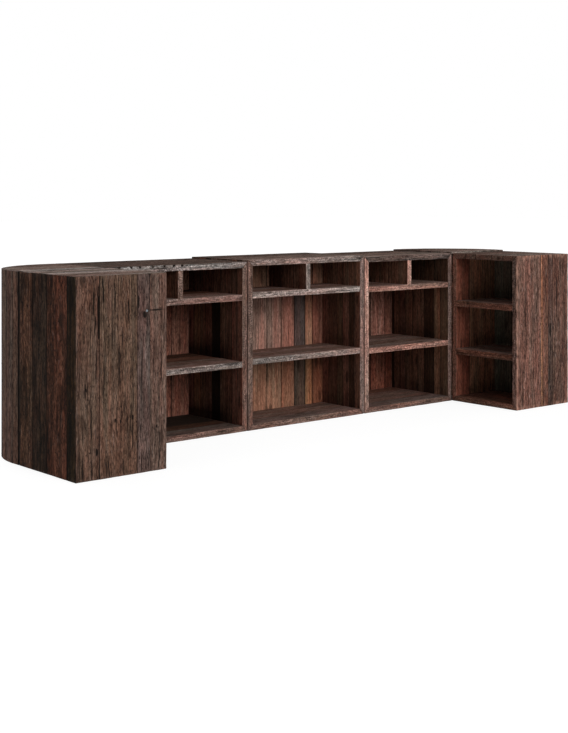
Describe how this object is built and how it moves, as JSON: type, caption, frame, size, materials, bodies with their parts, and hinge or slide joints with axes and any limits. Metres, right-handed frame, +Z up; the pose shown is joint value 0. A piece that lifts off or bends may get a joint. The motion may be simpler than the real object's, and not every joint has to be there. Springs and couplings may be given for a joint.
{
  "type": "bar counter",
  "caption": "U-shaped bar counter in dark reclaimed timber: open shelf bays in a row, shelved arms at both ends and rounded outer corners.",
  "frame": {"origin": "middle of the footprint's box, on the floor", "axes": "+X along the counter, +Y towards the guests' side, +Z up; the arms point along -Y"},
  "size_m": [4.2, 1.234, 1.11],
  "materials": {
    "weathered_timber": "weathered, oiled",
    "shelf_timber": "worn, oiled",
    "inner_timber": "planed, oiled",
    "joinery_timber": "sawn",
    "nail_iron": "rusted"
  },
  "bodies": {
    "root": {"centre_bay_bottom": "weathered_timber", "centre_bay_cladding": "weathered_timber", "centre_bay_divider": "shelf_timber", "centre_bay_inner_back": "inner_timber", "centre_bay_left_side": "weathered_timber", "centre_bay_mid_shelf": "shelf_timber", "centre_bay_right_side": "weathered_timber", "centre_bay_spacer_rails": "joinery_timber", "centre_bay_top": "weathered_timber", "centre_bay_upper_shelf": "shelf_timber", "cladding_nails": "nail_iron", "left_bay_bottom": "weathered_timber", "left_bay_cladding": "weathered_timber", "left_bay_divider": "shelf_timber", "left_bay_left_side": "weathered_timber", "left_bay_mid_shelf": "shelf_timber", "left_bay_right_side": "weathered_timber", "left_bay_top": "weathered_timber", "left_bay_upper_shelf": "shelf_timber", "left_corner_bay_wall": "joinery_timber", "left_corner_bottom": "weathered_timber", "left_corner_end_wall": "joinery_timber", "left_corner_rib": "joinery_timber", "left_corner_staves": "weathered_timber", "left_corner_top": "weathered_timber", "left_end_bottom": "weathered_timber", "left_end_cladding": "weathered_timber", "left_end_corner_side": "weathered_timber", "left_end_inner_back": "inner_timber", "left_end_lower_shelf": "shelf_timber", "left_end_panel": "weathered_timber", "left_end_spacer_rails": "joinery_timber", "left_end_top": "weathered_timber", "left_end_upper_shelf": "shelf_timber", "locating_dowels": "joinery_timber", "mitre_splines": "joinery_timber", "right_bay_bottom": "weathered_timber", "right_bay_cladding": "weathered_timber", "right_bay_divider": "shelf_timber", "right_bay_left_side": "weathered_timber", "right_bay_mid_shelf": "shelf_timber", "right_bay_right_side": "weathered_timber", "right_bay_top": "weathered_timber", "right_bay_upper_shelf": "shelf_timber", "right_corner_bay_wall": "joinery_timber", "right_corner_bottom": "weathered_timber", "right_corner_end_wall": "joinery_timber", "right_corner_rib": "joinery_timber", "right_corner_staves": "weathered_timber", "right_corner_top": "weathered_timber", "right_end_bottom": "weathered_timber", "right_end_cladding": "weathered_timber", "right_end_corner_side": "weathered_timber", "right_end_inner_back": "inner_timber", "right_end_lower_shelf": "shelf_timber", "right_end_panel": "weathered_timber", "right_end_spacer_rails": "joinery_timber", "right_end_top": "weathered_timber", "right_end_upper_shelf": "shelf_timber"}
  },
  "joints": []
}
